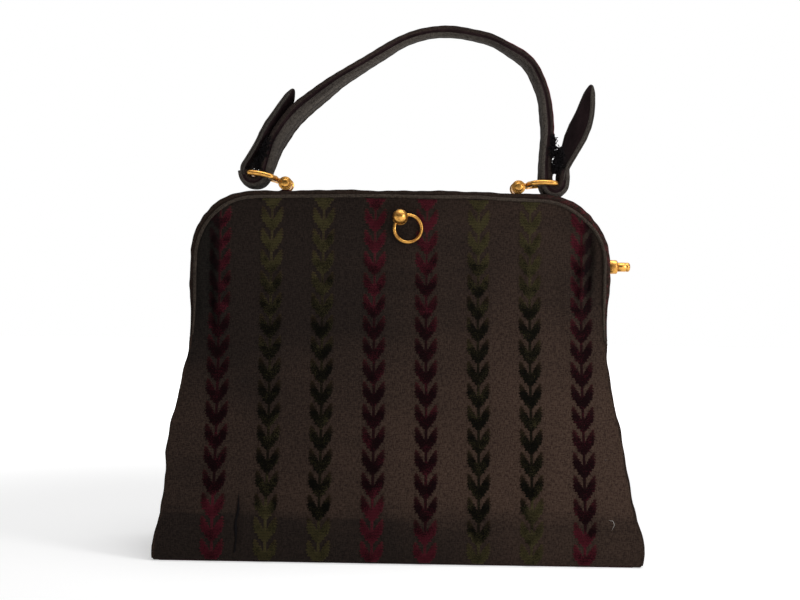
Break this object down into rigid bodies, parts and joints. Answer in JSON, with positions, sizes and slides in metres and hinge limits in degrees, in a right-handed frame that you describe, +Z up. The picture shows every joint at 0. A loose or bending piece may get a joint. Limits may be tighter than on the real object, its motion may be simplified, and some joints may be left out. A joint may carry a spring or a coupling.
{
  "type": "handbag",
  "caption": "Frame handbag with a tapered cloth body, raised leaf stripes, hinged cloth-covered frame, side push-button lock, gilt pull ring and one strap handle on stirrups.",
  "frame": {"origin": "on the floor under the middle of the base", "axes": "+Z up from the base to the handle, +X to the right seen from the front, towards the lock button, and the front of the bag faces -Y"},
  "size_m": [0.28, 0.0948, 0.3171],
  "materials": {
    "ribbed_cloth": "fine ribbed brown-black furnishing cloth",
    "burgundy_pile": "raised burgundy velvet pile",
    "green_pile": "raised olive green velvet pile",
    "piping_cloth": "dark corded piping",
    "strap_cloth": "padded strap of the same dark cloth with a velvet inner face",
    "lining_cloth": "plain brown lining twill",
    "board": "stiff pressed fibre board",
    "frame_steel": "plain bent steel",
    "gilt_brass": "gilt brass with light wear"
  },
  "bodies": {
    "bag_body": {"back_facing": "lining_cloth", "back_frame": "frame_steel", "back_frame_cover": "ribbed_cloth", "back_leaves_burgundy": "burgundy_pile", "back_leaves_green": "green_pile", "back_panel": "ribbed_cloth", "back_piping": "piping_cloth", "base_board": "board", "base_panel": "ribbed_cloth", "button_collar": "gilt_brass", "button_spring": "frame_steel", "front_leaves_burgundy": "burgundy_pile", "front_leaves_green": "green_pile", "front_panel": "ribbed_cloth", "left_gusset": "ribbed_cloth", "left_handle_post": "gilt_brass", "left_hinge_rivet": "frame_steel", "left_post_mound": "ribbed_cloth", "left_stirrup_pin": "gilt_brass", "lining": "lining_cloth", "lock_case": "frame_steel", "right_gusset": "ribbed_cloth", "right_handle_post": "gilt_brass", "right_hinge_rivet": "frame_steel", "right_post_mound": "ribbed_cloth", "right_stirrup_pin": "gilt_brass"},
    "front_frame_half": {"front_frame": "frame_steel", "front_frame_cover": "ribbed_cloth", "front_piping": "piping_cloth", "front_panel_top": "ribbed_cloth", "front_facing": "lining_cloth", "catch_tongue": "frame_steel", "pull_stud": "gilt_brass", "stud_washer": "frame_steel", "top_leaves_burgundy": "burgundy_pile", "top_leaves_green": "green_pile"},
    "pull_ring": {"pull_ring": "gilt_brass"},
    "push_button": {"push_button": "gilt_brass"},
    "handle": {"handle_strap": "strap_cloth"},
    "left_stirrup": {"left_stirrup": "gilt_brass"},
    "right_stirrup": {"right_stirrup": "gilt_brass"}
  },
  "joints": [
    {"name": "frame_opening", "type": "hinge", "parent": "bag_body", "child": "front_frame_half", "pos_m": [0, 0, 0.154], "axis": [1, 0, 0], "range_deg": [0, 50]},
    {"name": "ring_swing", "type": "hinge", "parent": "front_frame_half", "child": "pull_ring", "pos_m": [-0.0007, -0.0118, 0.1996], "axis": [-0.8111, 0, -0.585], "range_deg": [0, 165]},
    {"name": "button_press", "type": "slide", "parent": "bag_body", "child": "push_button", "axis": [-1, 0, 0], "range_m": [0, 0.0025], "stiffness_N_per_m": 400, "springref_m": -0.0008, "deforming": ["button_spring"]},
    {"name": "handle_lift", "type": "slide", "parent": "bag_body", "child": "handle", "axis": [0, 0, 1], "range_m": [0, 0.016], "deforming": ["handle_strap"]},
    {"name": "left_stirrup_swing", "type": "hinge", "parent": "bag_body", "child": "left_stirrup", "pos_m": [-0.0701, 0.0047, 0.2195], "axis": [0, 1, 0], "range_deg": [0, 65.2]},
    {"name": "right_stirrup_swing", "type": "hinge", "parent": "bag_body", "child": "right_stirrup", "pos_m": [0.0701, 0.0047, 0.2195], "axis": [0, -1, 0], "range_deg": [0, 49.9]}
  ],
  "couplings": [
    {"joint": "left_stirrup_swing", "follows": "handle_lift", "rad_per_m": 71},
    {"joint": "right_stirrup_swing", "follows": "handle_lift", "rad_per_m": 54.3}
  ]
}
